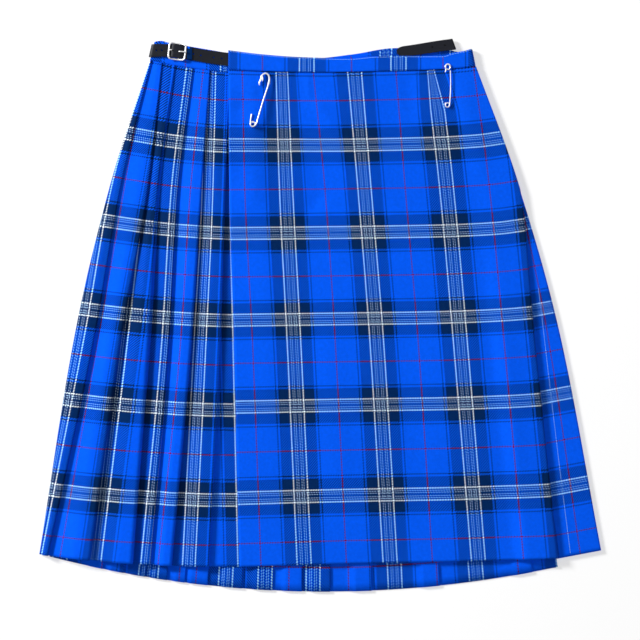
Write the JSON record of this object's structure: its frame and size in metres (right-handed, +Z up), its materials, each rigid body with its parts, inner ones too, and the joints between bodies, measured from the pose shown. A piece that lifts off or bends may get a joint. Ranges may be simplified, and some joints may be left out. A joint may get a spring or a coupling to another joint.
{
  "type": "kilt skirt",
  "caption": "Wrap-round knife-pleated tartan kilt skirt laid flat, with waistband, buckled leather strap, loose strap and pins.",
  "frame": {"origin": "middle of the laid-out skirt's outline, on the surface that it lies on", "axes": "+X across the skirt towards the right side as seen, +Y from hem to waistband, +Z up from the surface through the layers to the top apron"},
  "size_m": [0.675, 0.6646, 0.0143],
  "materials": {
    "tartan_cloth": "wool twill woven in a blue, navy, white and red check",
    "waistband_cloth": "the same wool twill, folded over and topstitched",
    "strap_leather": "black smooth leather with a fine grain",
    "buckle_metal": "bright plated wire",
    "pin_metal": "bright plated wire"
  },
  "bodies": {
    "root": {"back_pleats": "tartan_cloth", "left_pleats": "tartan_cloth", "under_apron": "tartan_cloth", "right_side": "tartan_cloth", "over_apron": "tartan_cloth", "waistband_back": "waistband_cloth", "waistband_left": "waistband_cloth", "waistband_under_apron": "waistband_cloth", "waistband_apron": "waistband_cloth", "left_strap": "strap_leather", "buckle_tab": "strap_leather", "right_strap": "strap_leather", "buckle_frame": "buckle_metal", "buckle_prong": "buckle_metal", "kilt_pin_cap": "pin_metal", "kilt_pin_wire": "pin_metal", "small_pin_cap": "pin_metal", "small_pin_wire": "pin_metal"}
  },
  "joints": []
}
